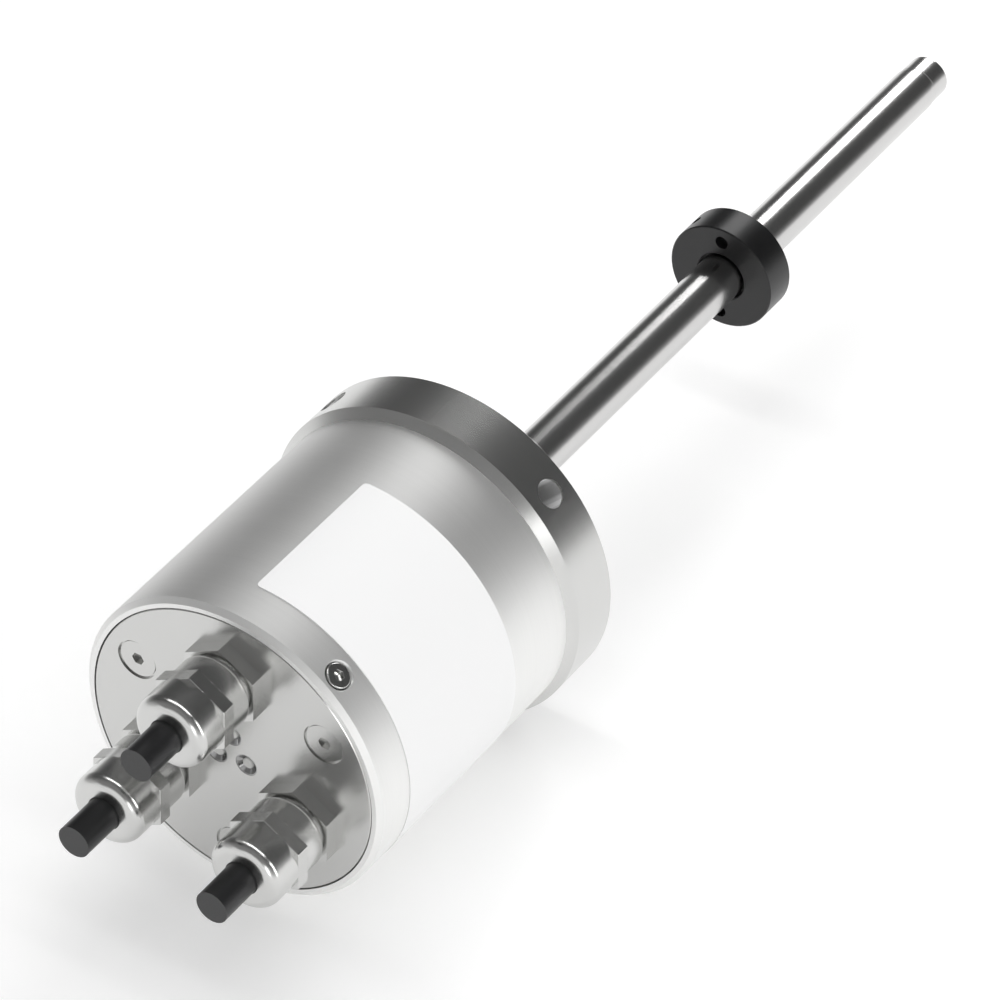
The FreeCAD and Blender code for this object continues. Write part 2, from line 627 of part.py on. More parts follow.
def gland_body(n, angle):
    """Lower half of a gland: collar, hexagon on the cover, and thread at both ends."""
    y, z = around(gland_radius, angle)
    bore = cable_dia / 2 + gland_bore_room
    top = gland_top_thread
    seat = gland_seal_radius + slip
    seat_end = gland_seal_length - gland_seal_front
    neck = gland_barrel_radius - gland_shoulder
    collar_start = gland_top_length
    neck_start = gland_top_length + gland_collar - gland_neck
    hex_end = gland_top_length + gland_collar + gland_base_hex
    thread_end = hex_end + gland_thread_length
    outline = [
        (ZERO, seat), (ZERO, top), (collar_start, top), (collar_start, gland_barrel_radius),
        (neck_start - gland_shoulder, gland_barrel_radius), (neck_start, neck, "arc"), (hex_end, neck),
        (hex_end, gland_thread / 2), (thread_end, gland_thread / 2), (thread_end, bore), (seat_end, bore),
        (seat_end, seat),
    ]
    body = turned("gland_body_%d_turned" % n, outline, gland_top, y, z)
    flats = hexagon("gland_body_%d_hex" % n, gland_hex_front, gland_base_hex, y, z)
    bore_cut = cylinder("gland_body_%d_bore" % n, bore, gland_base_hex + OVER * 2, gland_hex_front - OVER,
                        y, z, forwards())
    undercut = cylinder("gland_body_%d_undercut" % n, gland_ring_radius + gland_ring_cord / 2 + seal_squeeze,
                        gland_ring_cord + OVER, cover_face - gland_ring_cord, y, z, forwards())
    core = cylinder("gland_body_%d_core" % n, gland_thread / 2, gland_ring_cord + OVER,
                    cover_face - gland_ring_cord, y, z, forwards())
    groove = cut("gland_body_%d_groove" % n, undercut, [core])
    whole = fused("gland_body_%d_whole" % n, [body, flats])
    return cut("gland_body_%d" % n, whole, [groove, bore_cut])


def gland_cap(n, angle):
    """Domed gland nut: hexagon, round barrel, rounded nose, flat face and cable mouth."""
    y, z = around(gland_radius, angle)
    outer = gland_barrel_radius
    total = gland_cap_hex + gland_barrel + gland_nose
    cavity = gland_top_thread + slip
    floor = total - gland_top_length - slip
    seal_room = gland_seal_radius + slip
    seal_floor = floor - gland_seal_front
    outline = [
        (gland_mouth_round, gland_mouth), (ZERO, gland_mouth + gland_mouth_round, "arc"),
        (ZERO, gland_face), (gland_nose, outer, "arc"),
        (total, outer), (total, cavity), (floor, cavity), (floor, seal_room), (seal_floor, seal_room),
        (seal_floor, gland_mouth),
    ]
    body = turned("gland_cap_%d_turned" % n, outline, gland_front, y, z)
    flats = hexagon("gland_cap_%d_hex" % n, gland_barrel_start, gland_cap_hex, y, z)
    hollow = cylinder("gland_cap_%d_hollow" % n, cavity, gland_cap_hex + OVER * 2, gland_barrel_start - OVER,
                      y, z, forwards())
    ring = cut("gland_cap_%d_ring" % n, flats, [hollow])
    return fused("gland_cap_%d" % n, [body, ring])


def gland_seal(n, angle):
    """Rubber insert that the nut squeezes on the cable."""
    y, z = around(gland_radius, angle)
    inner = cable_dia / 2 + slip
    outer = gland_seal_radius
    outline = [(ZERO, inner), (ZERO, outer), (gland_seal_length, outer), (gland_seal_length, inner)]
    return turned("gland_seal_%d" % n, outline, gland_top - gland_seal_front, y, z)


def cable(n, angle):
    """Round cable, cut off square, from in front of its gland into its terminal block."""
    y, z = around(gland_radius, angle)
    start = gland_front - cable_stub
    length = terminal_rear + terminal_entry - start
    return cylinder("cable_%d" % n, cable_dia / 2, length, start, y, z, forwards())


def lamp_holder(n, angle):
    """Short ring pressed into its pocket, with a conical mouth round the lens."""
    y, z = around(lamp_radius, angle)
    inner = lamp_lens_dia / 2 + slip
    outer = lamp_dia / 2
    length = lamp_depth - lamp_sunk
    outline = [
        (lamp_cone, inner), (ZERO, outer - lamp_rim), (ZERO, outer), (length, outer), (length, inner),
    ]
    return turned("lamp_holder_%d" % n, outline, cover_face + lamp_sunk, y, z)


def lamp_lens(n, angle):
    """Clear lens with a rounded front."""
    y, z = around(lamp_radius, angle)
    radius = lamp_lens_dia / 2
    crown = lamp_lens_crown
    length = lamp_depth - lamp_lens_sunk
    outline = [
        (ZERO, ZERO), (ZERO, radius - crown), (crown, radius, "arc"), (length, radius), (length, ZERO),
    ]
    return turned("lamp_lens_%d" % n, outline, cover_face + lamp_lens_sunk, y, z)


def rod_tube():
    """Measuring rod: a long tube, turned down a little at the seam with its plug."""
    outer = rod_dia / 2
    length = flange_thickness + rod_seam
    outline = [
        (ZERO, rod_bore), (ZERO, outer), (length - rod_tip_run, outer),
        (length - rod_tip_run + rod_step, rod_tip), (length - seam_bevel, rod_tip),
        (length, rod_tip - seam_bevel), (length, rod_bore),
    ]
    return turned("rod_tube", outline, housing_front)


def rod_end_plug():
    """Plug that closes the rod, with a rounded tip and a spigot inside the tube."""
    spigot = rod_bore - slip
    length = plug_spigot + rod_plug
    outline = [
        (ZERO, ZERO), (ZERO, spigot), (plug_spigot, spigot), (plug_spigot, rod_tip - seam_bevel),
        (plug_spigot + seam_bevel, rod_tip), (length - rod_tip_round, rod_tip),
        (length, rod_tip - rod_tip_round, "arc"), (length, ZERO),
    ]
    return turned("rod_end_plug", outline, rod_seam - plug_spigot)


def magnet_ring():
    """Ring magnet with two holes along it and one from its side."""
    bore = magnet_bore
    outer = magnet_dia / 2
    edge = magnet_edge
    length = magnet_thickness
    outline = [
        (ZERO, bore + edge), (ZERO, outer - edge), (edge, outer), (length - edge, outer),
        (length, outer - edge), (length, bore + edge), (length - edge, bore), (edge, bore),
    ]
    body = turned("magnet_ring_turned", outline, magnet_place)
    tools = []
    for n, angle in enumerate(MAGNET_AXIAL_ANGLES, 1):
        y, z = around(magnet_hole_radius, angle)
        tools.append(cylinder("magnet_hole_%d" % n, magnet_hole_dia / 2, magnet_thickness + OVER * 2,
                              magnet_place - OVER, y, z, forwards()))
    y, z = around(rod_dia / 2, MAGNET_RADIAL_ANGLE)
    tools.append(cylinder("magnet_side_hole_cut", magnet_side_hole / 2, magnet_dia / 2,
                          magnet_place + magnet_thickness / 2, y, z, outwards(MAGNET_RADIAL_ANGLE)))
    return cut("magnet_ring", body, tools)


def tie_pillar(n, angle):
    """Post from the flange to the cover, with a threaded foot and a tapped end."""
    y, z = around(cover_screw_radius, angle)
    length = housing_length - cover_thickness
    tap = cover_screw_dia / 2 + slip
    outer = pillar_dia / 2
    foot = pillar_foot_dia / 2
    depth = cover_screw_sunk + cover_screw_length - cover_thickness + pillar_tap_room
    outline = [
        (ZERO, tap), (ZERO, outer), (length, outer), (length, foot), (length + pillar_foot_length, foot),
        (length + pillar_foot_length, ZERO), (depth, ZERO), (depth, tap),
    ]
    return turned("tie_pillar_%d" % n, outline, cover_inner, y, z)


def core_prism(label, face, corner, length, x):
    """Three-sided prism along the rod, flat towards each channel, with its corners turned off."""
    block = prism(label + "_flats", 3, face * 2, length, x, ZERO, ZERO, forwards(PILLAR_ANGLES[1] + 90))
    round_off = cylinder(label + "_round", corner, length, x, ZERO, ZERO, forwards())
    return common(label, [block, round_off])


def electronics_carrier():
    """Moulded carrier: a plate on the flange's ring and a hollow three-sided core for the boards."""
    plate_x = carrier_front - carrier_plate
    whole_length = carrier_length + carrier_plate
    plate = cylinder("carrier_plate_disc", housing_bore - cover_gap, carrier_plate, plate_x, ZERO, ZERO,
                     forwards())
    core = core_prism("carrier_core", carrier_face, carrier_corner, whole_length, carrier_rear)
    tools = [core_prism("carrier_hollow", carrier_face - carrier_wall, carrier_corner - carrier_wall,
                        whole_length + OVER * 2, carrier_rear - OVER)]
    for n, angle in PILLAR_ANGLES.items():
        y, z = around(cover_screw_radius, angle)
        tools.append(cylinder("carrier_pillar_hole_%d" % n, pillar_dia / 2 + cover_gap,
                              carrier_plate + OVER * 2, plate_x - OVER, y, z, forwards()))
    for n, angle in CHANNEL_ANGLES.items():
        for k, (x, side) in enumerate(board_screw_places(), 1):
            y, z = beside(carrier_face - carrier_wall - OVER, side, angle)
            tools.append(cylinder("carrier_screw_hole_%d_%d" % (n, k), board_screw_dia / 2 + slip,
                                  carrier_wall + OVER * 2, x, y, z, outwards(angle)))
    return cut("electronics_carrier", fused("carrier_whole", [plate, core]), tools)


def beside(radius, side, angle):
    """Y and Z of a point out at a radius along a channel's angle and then sideways."""
    out_y, out_z = around(radius, angle)
    side_y, side_z = around(side, angle + 90)
    return out_y + side_y, out_z + side_z


def board_screw_places():
    """Place along the rod and sideways of a board's two screws, in opposite corners."""
    side = board_width / 2 - board_screw_inset
    return [(board_front - board_screw_inset, side), (board_rear + board_screw_inset, -side)]


def slab(label, along, wide, high, x, radius, angle):
    """Box lying on a channel's face: its rear end at x, its underside at a radius."""
    y, z = beside(radius, wide / 2, angle)
    return box(label, along, wide, high, x, y, z, outwards(angle))


def circuit_board(n, angle):
    """Board with its screw holes, main chip and capacitor."""
    board = slab("board_%d_plate" % n, board_length, board_width, board_thickness, board_rear, carrier_face,
                 angle)
    tools = []
    for k, (x, side) in enumerate(board_screw_places(), 1):
        y, z = beside(carrier_face - OVER, side, angle)
        tools.append(cylinder("board_%d_hole_%d" % (n, k), board_screw_dia / 2 + slip,
                              board_thickness + OVER * 2, x, y, z, outwards(angle)))
    plate = cut("board_%d_drilled" % n, board, tools)
    chip = slab("board_%d_chip" % n, chip_side, chip_side, chip_height, board_front - part_edge - chip_side,
                board_top, angle)
    y, z = beside(board_top, can_dia / 2 + part_edge - board_width / 2, angle)
    can = cylinder("board_%d_can" % n, can_dia / 2, can_height, board_front - board_length / 2, y, z,
                   outwards(angle))
    return fused("circuit_board_%d" % n, [plate, chip, can])


def board_screws():
    """All small screws of the three boards."""
    items = []
    for n, angle in CHANNEL_ANGLES.items():
        for k, (x, side) in enumerate(board_screw_places(), 1):
            y, z = beside(board_top, side, angle)
            head = cylinder("board_screw_head_%d_%d" % (n, k), board_screw_head / 2, board_screw_height,
                            x, y, z, outwards(angle))
            y, z = beside(carrier_face - carrier_wall, side, angle)
            shank = cylinder("board_screw_shank_%d_%d" % (n, k), board_screw_dia / 2,
                             board_thickness + carrier_wall, x, y, z, outwards(angle))
            items += [head, shank]
    return fused("board_screws", items)


def terminal_block(n, angle):
    """Block on the board that the cable's end enters."""
    height = gland_radius + cable_dia / 2 + terminal_wall - board_top
    block = slab("terminal_block_%d_solid" % n, terminal_length, terminal_width, height, terminal_rear,
                 board_top, angle)
    y, z = around(gland_radius, angle)
    entry = cylinder("terminal_block_%d_entry" % n, cable_dia / 2 + slip, terminal_entry + OVER,
                     terminal_rear - OVER, y, z, forwards())
    return cut("terminal_block_%d" % n, block, [entry])


def waveguide(n, angle):
    """Straight waveguide in its sleeve, along the rod."""
    y, z = around(guide_radius, angle)
    start = housing_front - guide_start
    end = damper_start + damper_length
    return cylinder("waveguide_%d" % n, guide_dia / 2, end - start, start, y, z, forwards())


def pickup_coil(n, angle):
    """Coil on its bobbin round the inner end of its waveguide."""
    y, z = around(guide_radius, angle)
    inner = guide_dia / 2 + slip
    outer = guide_radius * cosine(30) - coil_gap / 2
    wound = outer - coil_wind
    outline = [
        (ZERO, inner), (ZERO, outer), (coil_rim, outer), (coil_rim, wound), (coil_length - coil_rim, wound),
        (coil_length - coil_rim, outer), (coil_length, outer), (coil_length, inner),
    ]
    return turned("pickup_coil_%d" % n, outline, housing_front - guide_start + coil_start, y, z)


def bored_plug(label, length, x):
    """Round plug in the rod with a hole for each waveguide."""
    plug = cylinder(label + "_round", rod_bore - slip, length, x, ZERO, ZERO, forwards())
    tools = []
    for n, angle in CHANNEL_ANGLES.items():
        y, z = around(guide_radius, angle)
        tools.append(cylinder("%s_hole_%d" % (label, n), guide_dia / 2 + slip, length + OVER * 2, x - OVER,
                              y, z, forwards()))
    return cut(label, plug, tools)


nodes = [flange(), housing_tube(), rear_cover(), rating_label(), cover_lock_screw()]
nodes += [rod_tube(), rod_end_plug(), magnet_ring(), electronics_carrier(), board_screws()]

tube_ring_radius = housing_bore - seal_squeeze / 2 - seal_cord / 2
groove_centre = seal_lip + (seal_cord + seal_side) / 2
nodes.append(sealing_ring("housing_oring", carrier_front + groove_centre, tube_ring_radius, seal_cord))
nodes.append(sealing_ring("cover_oring", cover_inner - groove_centre, tube_ring_radius, seal_cord))
nodes.append(sealing_ring("face_seal_ring", -seal_cord / 2 - seal_squeeze, face_groove_radius, seal_cord))

for n, angle in CHANNEL_ANGLES.items():
    nodes += [gland_body(n, angle), gland_cap(n, angle), gland_seal(n, angle), cable(n, angle)]
    nodes += [lamp_holder(n, angle), lamp_lens(n, angle)]
    nodes += [circuit_board(n, angle), terminal_block(n, angle)]
    nodes += [waveguide(n, angle), pickup_coil(n, angle)]
    y, z = around(gland_radius, angle)
    nodes.append(sealing_ring("gland_oring_%d" % n, cover_face - gland_ring_cord / 2, gland_ring_radius,
                              gland_ring_cord, y, z))
    spacer_x = damper_start * n / (len(CHANNEL_ANGLES) + 1) - spacer_length / 2
    nodes.append(bored_plug("waveguide_spacer_%d" % n, spacer_length, spacer_x))

for n, angle in PILLAR_ANGLES.items():
    nodes += [tie_pillar(n, angle), cover_screw(n, angle)]

nodes.append(bored_plug("end_damper", damper_length, damper_start))

doc.recompute()

for item in doc.Objects:
    if "Invalid" in item.State or "Error" in item.State:
        raise RuntimeError("failed object: " + item.Name)

os.makedirs("parts", exist_ok=True)
for node in nodes:
    shape = node.Shape
    if shape.isNull() or not shape.isValid() or shape.Volume <= 0:
        raise RuntimeError("bad shape: " + node.Label)
    print("%-24s %8.1f mm3 %2d solids" % (node.Label, shape.Volume, len(shape.Solids)))
    shape.exportStep("parts/" + node.Label + ".step")
print(len(nodes), "pieces")
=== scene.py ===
"""Studio view of a rod-style linear position sensor with a sliding ring magnet.

Lengths are in metres, in the frame of the CAD model: the origin is the centre of the
flange's mounting face, +X runs along the rod to its tip and +Z is up. Angles about the
rod are measured from +Y towards +Z.
"""

import math

import bmesh
import bpy
import numpy as np
from mathutils import Matrix, Vector


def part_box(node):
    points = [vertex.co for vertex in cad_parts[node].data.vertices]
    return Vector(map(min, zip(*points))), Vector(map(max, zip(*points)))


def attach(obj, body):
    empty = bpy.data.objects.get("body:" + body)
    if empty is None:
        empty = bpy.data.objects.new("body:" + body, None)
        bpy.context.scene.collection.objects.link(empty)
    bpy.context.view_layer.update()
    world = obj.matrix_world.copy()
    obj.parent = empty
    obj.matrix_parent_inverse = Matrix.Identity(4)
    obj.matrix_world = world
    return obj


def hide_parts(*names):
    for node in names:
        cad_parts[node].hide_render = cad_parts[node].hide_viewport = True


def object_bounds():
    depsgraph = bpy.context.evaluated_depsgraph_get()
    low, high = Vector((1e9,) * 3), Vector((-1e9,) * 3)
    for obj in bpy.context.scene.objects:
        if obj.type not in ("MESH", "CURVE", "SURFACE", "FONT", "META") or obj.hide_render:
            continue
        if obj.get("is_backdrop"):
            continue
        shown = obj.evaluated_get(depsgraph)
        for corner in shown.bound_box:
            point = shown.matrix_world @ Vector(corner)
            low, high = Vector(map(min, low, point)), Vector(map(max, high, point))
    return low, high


MM = 0.001

# Meshes: points closer than this are merged, and edges flatter than this look smooth
WELD_DISTANCE = 0.0005 * MM
SMOOTH_DEGREES = 28.0

# Gland nuts, in millimetres: radii, places from the nut's front, half widths of the hexagon,
# and two depths from the nut's rear. The hexagon's turn is in degrees
NUT_BARREL = 9.85
NUT_FACE = 6.85
NUT_NOSE = 3.0
NUT_MOUTH_PLAY = 0.03
NUT_MOUTH_ROUND = 0.3
NUT_HEX_START = 9.2
NUT_HEX_FLATS = 9.8
NUT_HEX_CORNERS = 11.25
NUT_HEX_TURN = 32.0
NUT_HEX_EDGE = 0.12
NUT_THREAD_BORE = 7.75
NUT_SEAL_BORE = 6.5
NUT_THREAD_DEPTH = 6.05
NUT_SEAL_DEPTH = 9.05

# Side screw: its angle about the rod in degrees, and its radii, depths and half the width of
# its socket in millimetres. The share tells how many times wider a hexagon is across its
# corners than across its flats
SCREW_ANGLE = 130.0
SCREW_HEAD = 3.25
SCREW_EDGE = 0.42
SCREW_HEIGHT = 3.2
SCREW_SUNK = 0.05
SCREW_SOCKET = 1.25
SCREW_SOCKET_DEPTH = 1.3
SCREW_SOCKET_POINT = 0.55
SCREW_SOCKET_BEVEL = 0.08
HEX_CORNER_SHARE = 1.1547

# Mounting thread on the flange's stud: sizes in millimetres, and its turns and the steps in
# each of them
THREAD_PITCH = 1.5
THREAD_START = 4.0
THREAD_TURNS = 13
THREAD_STEPS = 64
THREAD_ROOT = 10.8
THREAD_CREST = 11.16
THREAD_HALF_FOOT = 0.62
THREAD_HALF_CREST = 0.12

# Spanner holes in the flange's rim, whose walls get painted reflection: the zone of these walls, from the
# axis and along it
HOLE_WALL_REACH = 44.2 * MM
HOLE_WALL_FROM = -13.0 * MM
HOLE_WALL_TO = -3.0 * MM

# The camera, from the photograph's edges
CAMERA_PLACE = (-0.8515, -0.5757, 0.8710)
CAMERA_RIGHT = (0.55188, -0.83392, 0.0)
CAMERA_BACK = (-0.63918, -0.42300, 0.64228)
CAMERA_LENS_MM = 197.3
CAMERA_SENSOR_MM = 36.0

# The studio: strength of the plain light, level of the lit floor, how far the floor lies
# below the sensor, and half its side in metres
PLAIN_LIGHT = 0.57
PAPER_LEVEL = 0.79
FLOOR_GAP = 0.5 * MM
FLOOR_HALF = 4.0

# The dark cloth: its radius in metres, places along X with the angle in degrees, from the
# level of the rod, at which its lower edges hang, and the points round its arch
VAULT_RADIUS = 1.4
VAULT_STATIONS = [(-2.4, 24.0), (-1.45, 24.0), (-1.38, -4.0), (6.0, -4.0)]
VAULT_POINTS = 48

# Its paint: greys from the bottom to the top of a stretch of height, given as shares of the
# radius, over the sensor and behind it, and the stretch of X in which one becomes the other
VAULT_PAINT_HEIGHTS = (-0.07, 0.55)
VAULT_PAINT = [(0.0, 0.9), (0.14, 0.72), (0.42, 0.27), (0.8, 0.13)]
VAULT_REAR_PAINT = [(0.0, 0.9), (0.45, 0.85), (0.8, 0.48), (1.0, 0.40)]
VAULT_PAINT_CHANGE = (-0.3, -1.0)

# Soft lamps: the place on the rod's axis that a lamp serves, the way from there to it, its
# distance, its shift, its width and height in metres, and its radiance
SOFT_LAMPS = {
    "rod_softbox": (0.18, (0.639, 0.305, 0.706), 0.9, 0.25, 0.45, 0.40, 6.0),
    "side_softbox": (-0.118, (0.12, -0.957, 0.265), 1.0, 0.0, 0.15, 0.62, 5.5),
    "over_softbox": (-0.118, (0.12, -0.037, 0.992), 1.0, 0.0, 0.14, 1.30, 5.0),
    "rear_softbox": (-0.118, (-0.72, -0.68, 0.02), 1.0, 0.0, 0.24, 0.66, 2.6),
}


class Finish:
    """A material under construction: its nodes, and short ways to add and join them."""

    def __init__(self, name, colour, rough, metal=0.0, **sockets):
        self.mat = bpy.data.materials.new(name)
        self.mat.use_nodes = True
        self.mat.diffuse_color = (*colour, 1.0)
        self.tree = self.mat.node_tree
        self.tree.nodes.clear()
        out = self.tree.nodes.new("ShaderNodeOutputMaterial")
        self.shader = self.tree.nodes.new("ShaderNodeBsdfPrincipled")
        self.tree.links.new(self.shader.outputs["BSDF"], out.inputs["Surface"])
        self.shader.inputs["Base Color"].default_value = (*colour, 1.0)
        self.shader.inputs["Roughness"].default_value = rough
        self.shader.inputs["Metallic"].default_value = metal
        for socket, value in sockets.items():
            self.shader.inputs[socket.replace("_", " ")].default_value = value
        self.coords = self.tree.nodes.new("ShaderNodeTexCoord").outputs["Object"]

    def add(self, kind, **inputs):
        """Add a node and set its inputs, named by their label or, as i0 and i1, by their
        place: a number stays, an output is joined."""
        node = self.tree.nodes.new("ShaderNode" + kind)
        for key, value in inputs.items():
            socket = int(key[1:]) if key[1:].isdigit() else key.replace("_", " ")
            self.feed(node.inputs[socket], value)
        return node

    def feed(self, socket, value):
        """Join an output to a socket, or set the socket to a number or colour."""
        if isinstance(value, bpy.types.NodeSocket):
            self.tree.links.new(value, socket)
        else:
            socket.default_value = value

    def maths(self, operation, a, b=0.0):
        """Result of one step of arithmetic on numbers or outputs."""
        node = self.add("Math", i0=a, i1=b)
        node.operation = operation
        return node.outputs[0]

    def scaled(self, scale):
        """The object's coordinates stretched along each axis."""
        node = self.add("Mapping", Vector=self.coords, Scale=scale)
        return node.outputs[0]

    def noise(self, vector, scale=1.0, detail=2.0, rough=0.5):
        """Soft noise from 0 to 1 over a vector."""
        node = self.add("TexNoise", Vector=vector, Scale=scale, Detail=detail, Roughness=rough)
        return node.outputs["Fac"]

    def ramp(self, fac, stops):
        """Greys at places from 0 to 1 along a factor."""
        node = self.add("ValToRGB", Fac=fac)
        elements = node.color_ramp.elements
        while len(elements) < len(stops):
            elements.new(0.5)
        for element, (place, value) in zip(elements, stops):
            element.position = place
            element.color = (value, value, value, 1.0)
        return node.outputs["Color"]

    def between(self, fac, low, high):
        """A factor of 0 to 1 carried to the range from low to high."""
        node = self.add("MapRange", Value=fac)
        node.inputs["To Min"].default_value = low
        node.inputs["To Max"].default_value = high
        return node.outputs["Result"]

    def blend(self, fac, a, b):
        """Colour a where the factor is 0, and b where it is 1."""
        node = self.tree.nodes.new("ShaderNodeMix")
        node.data_type = "RGBA"
        self.feed(node.inputs[0], fac)
        self.feed(node.inputs[6], a)
        self.feed(node.inputs[7], b)
        return node.outputs[2]

    def turned(self, marks, colour, rough, spread):
        """Roughness and tone of turned metal, from its tool marks and a soft cloud."""
        cloud = self.noise(self.coords, 35.0, 3.0)
        mixed = self.maths("ADD", self.maths("MULTIPLY", marks, 0.6), self.maths("MULTIPLY", cloud, 0.4))
        shade = self.add("VectorMath", i0=colour)
        shade.operation = "SCALE"
        self.feed(shade.inputs["Scale"], self.between(mixed, 0.94, 1.04))
        return self.between(mixed, rough - spread, rough + spread), shade.outputs[0]

    def radius(self):
        """Distance from the rod axis."""
        flat = self.scaled((0.0, 1.0, 1.0))
        node = self.add("VectorMath", i0=flat)
        node.operation = "LENGTH"
        return node.outputs["Value"]

    def bump(self, height, depth, strength=0.3):
        """Relief from a height of 0 to 1 and the depth that it stands for, in metres."""
        node = self.add("Bump", Height=height, Distance=depth, Strength=strength)
        self.feed(self.shader.inputs["Normal"], node.outputs[0])

    def set(self, socket, value):
        """Feed one of the shader's own sockets, by its label."""
        self.feed(self.shader.inputs[socket], value)


def turned_steel(name, colour, rough, spread, pitch, relief, across=True):
    """Lathe-turned steel or aluminium. Fine marks run round the axis: a noise that changes
    fast along the rod on round faces, or fast with the radius on flat ones."""
    f = Finish(name, colour, rough, 1.0)
    if across:
        marks = f.noise(f.scaled((1.0 / pitch, 9.0, 9.0)), 1.0, 3.0, 0.6)
    else:
        ring = f.maths("MULTIPLY", f.radius(), 1.0 / pitch)
        line = f.add("CombineXYZ", X=ring)
        marks = f.noise(line.outputs[0], 1.0, 3.0, 0.6)
    dulled, shade = f.turned(marks, colour, rough, spread)
    f.set("Roughness", dulled)
    f.set("Base Color", shade)
    f.bump(marks, relief)
    return f.mat


def flange_steel():
    """Turned steel of the flange. The walls of the holes in its rim carry painted reflection:
    wherever a surface lies inside the rim and between the flange's two faces, it is duller,
    less metallic and painted pale with streaks, which stand in for bright reflections there."""
    colour = (0.65, 0.65, 0.64)
    f = Finish("flange_steel", colour, 0.26, 1.0)
    marks = f.noise(f.scaled((1600.0, 9.0, 9.0)), 1.0, 3.0, 0.6)
    dulled, shade = f.turned(marks, colour, 0.26, 0.025)
    split = f.add("SeparateXYZ", Vector=f.coords)
    inside = f.maths("LESS_THAN", f.radius(), HOLE_WALL_REACH)
    after = f.maths("GREATER_THAN", split.outputs["X"], HOLE_WALL_FROM)
    before = f.maths("LESS_THAN", split.outputs["X"], HOLE_WALL_TO)
    wall = f.maths("MULTIPLY", inside, f.maths("MULTIPLY", after, before))
    f.set("Roughness", f.maths("ADD", dulled, f.maths("MULTIPLY", wall, 0.2)))
    # Painted reflection: pale streaks that change along X, shown by lowering the metal, stand in for the
    # bright reflections on the hole walls
    painted_streaks = f.ramp(f.noise(f.scaled((420.0, 0.0, 0.0)), 1.0, 1.0), [(0.42, 0.42), (0.56, 1.0)])
    f.set("Base Color", f.blend(wall, shade, painted_streaks))
    f.set("Metallic", f.maths("SUBTRACT", 1.0, f.maths("MULTIPLY", wall, 0.85)))
    f.bump(marks, 0.000004)
    return f.mat


def plated(name, colour, rough):
    """Plated metal with a slight unevenness and faint handling marks."""
    f = Finish(name, colour, rough, 1.0)
    haze = f.noise(f.coords, 90.0, 3.0, 0.5)
    f.set("Roughness", f.between(haze, rough - 0.04, rough + 0.04))
    f.bump(f.noise(f.coords, 500.0, 2.0), 0.000002, 0.1)
    return f.mat


def moulded(name, colour, rough, grain=1500.0, depth=0.00002):
    """Plastic, rubber or bonded magnet: an even colour with a fine grain and soft patches."""
    f = Finish(name, colour, rough)
    patch = f.noise(f.coords, 60.0, 3.0)
    f.set("Roughness", f.between(patch, rough - 0.06, rough + 0.06))
    light = tuple(min(1.0, c * 1.25 + 0.002) for c in colour)
    f.set("Base Color", f.blend(patch, (*colour, 1.0), (*light, 1.0)))
    f.bump(f.noise(f.coords, grain, 2.0), depth, 0.25)
    return f.mat


def cable_sheath():
    """Black sheath with fine lengthwise draw lines, and the paler cut end of the cable, which
    is all that lies within a tenth of a millimetre of its rearmost point."""
    black = (0.012, 0.012, 0.013)
    f = Finish("cable_sheath", black, 0.38)
    lines = f.noise(f.scaled((25.0, 1400.0, 1400.0)), 1.0, 2.0)
    f.set("Roughness", f.between(lines, 0.32, 0.44))
    split = f.add("SeparateXYZ", Vector=f.coords)
    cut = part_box("cable_1")[0][0]
    at_cut = f.maths("LESS_THAN", split.outputs["X"], cut + 0.1 * MM)
    f.set("Base Color", f.blend(at_cut, (*black, 1.0), (0.030, 0.030, 0.031, 1.0)))
    f.bump(lines, 0.00002, 0.2)
    return f.mat


def label_film():
    """White film, half matt, with the faint waviness of a label stuck on by hand."""
    f = Finish("label_film", (0.95, 0.95, 0.95), 0.45)
    wave = f.noise(f.coords, 120.0, 2.0)
    f.set("Roughness", f.between(wave, 0.40, 0.50))
    f.bump(wave, 0.000004, 0.1)
    return f.mat


def clear_lens():
    """Pale plastic of a lamp, which lets a little light through."""
    f = Finish("lamp_clear", (0.9, 0.9, 0.88), 0.08, 0.0, Transmission_Weight=0.15, IOR=1.49)
    f.set("Roughness", f.between(f.noise(f.coords, 500.0), 0.05, 0.12))
    return f.mat


def board_green():
    """Green solder mask, paler and a little raised over the patches of copper under it."""
    f = Finish("board_laminate", (0.02, 0.16, 0.06), 0.35)
    cells = f.add("TexVoronoi", Vector=f.scaled((420.0, 420.0, 420.0)))
    tracks = f.maths("GREATER_THAN", cells.outputs["Distance"], 0.45)
    f.set("Base Color", f.blend(tracks, (0.015, 0.13, 0.05, 1.0), (0.03, 0.22, 0.08, 1.0)))
    f.bump(tracks, 0.00002, 0.3)
    return f.mat


def wound_copper():
    """Enamelled wire wound round the bobbin: even turns along the coil."""
    f = Finish("coil_copper", (0.55, 0.22, 0.09), 0.3, 0.8)
    turns = f.add("TexWave", Vector=f.coords, Scale=1600.0)
    f.set("Roughness", f.between(turns.outputs["Fac"], 0.22, 0.45))
    f.bump(turns.outputs["Fac"], 0.00008, 0.6)
    return f.mat


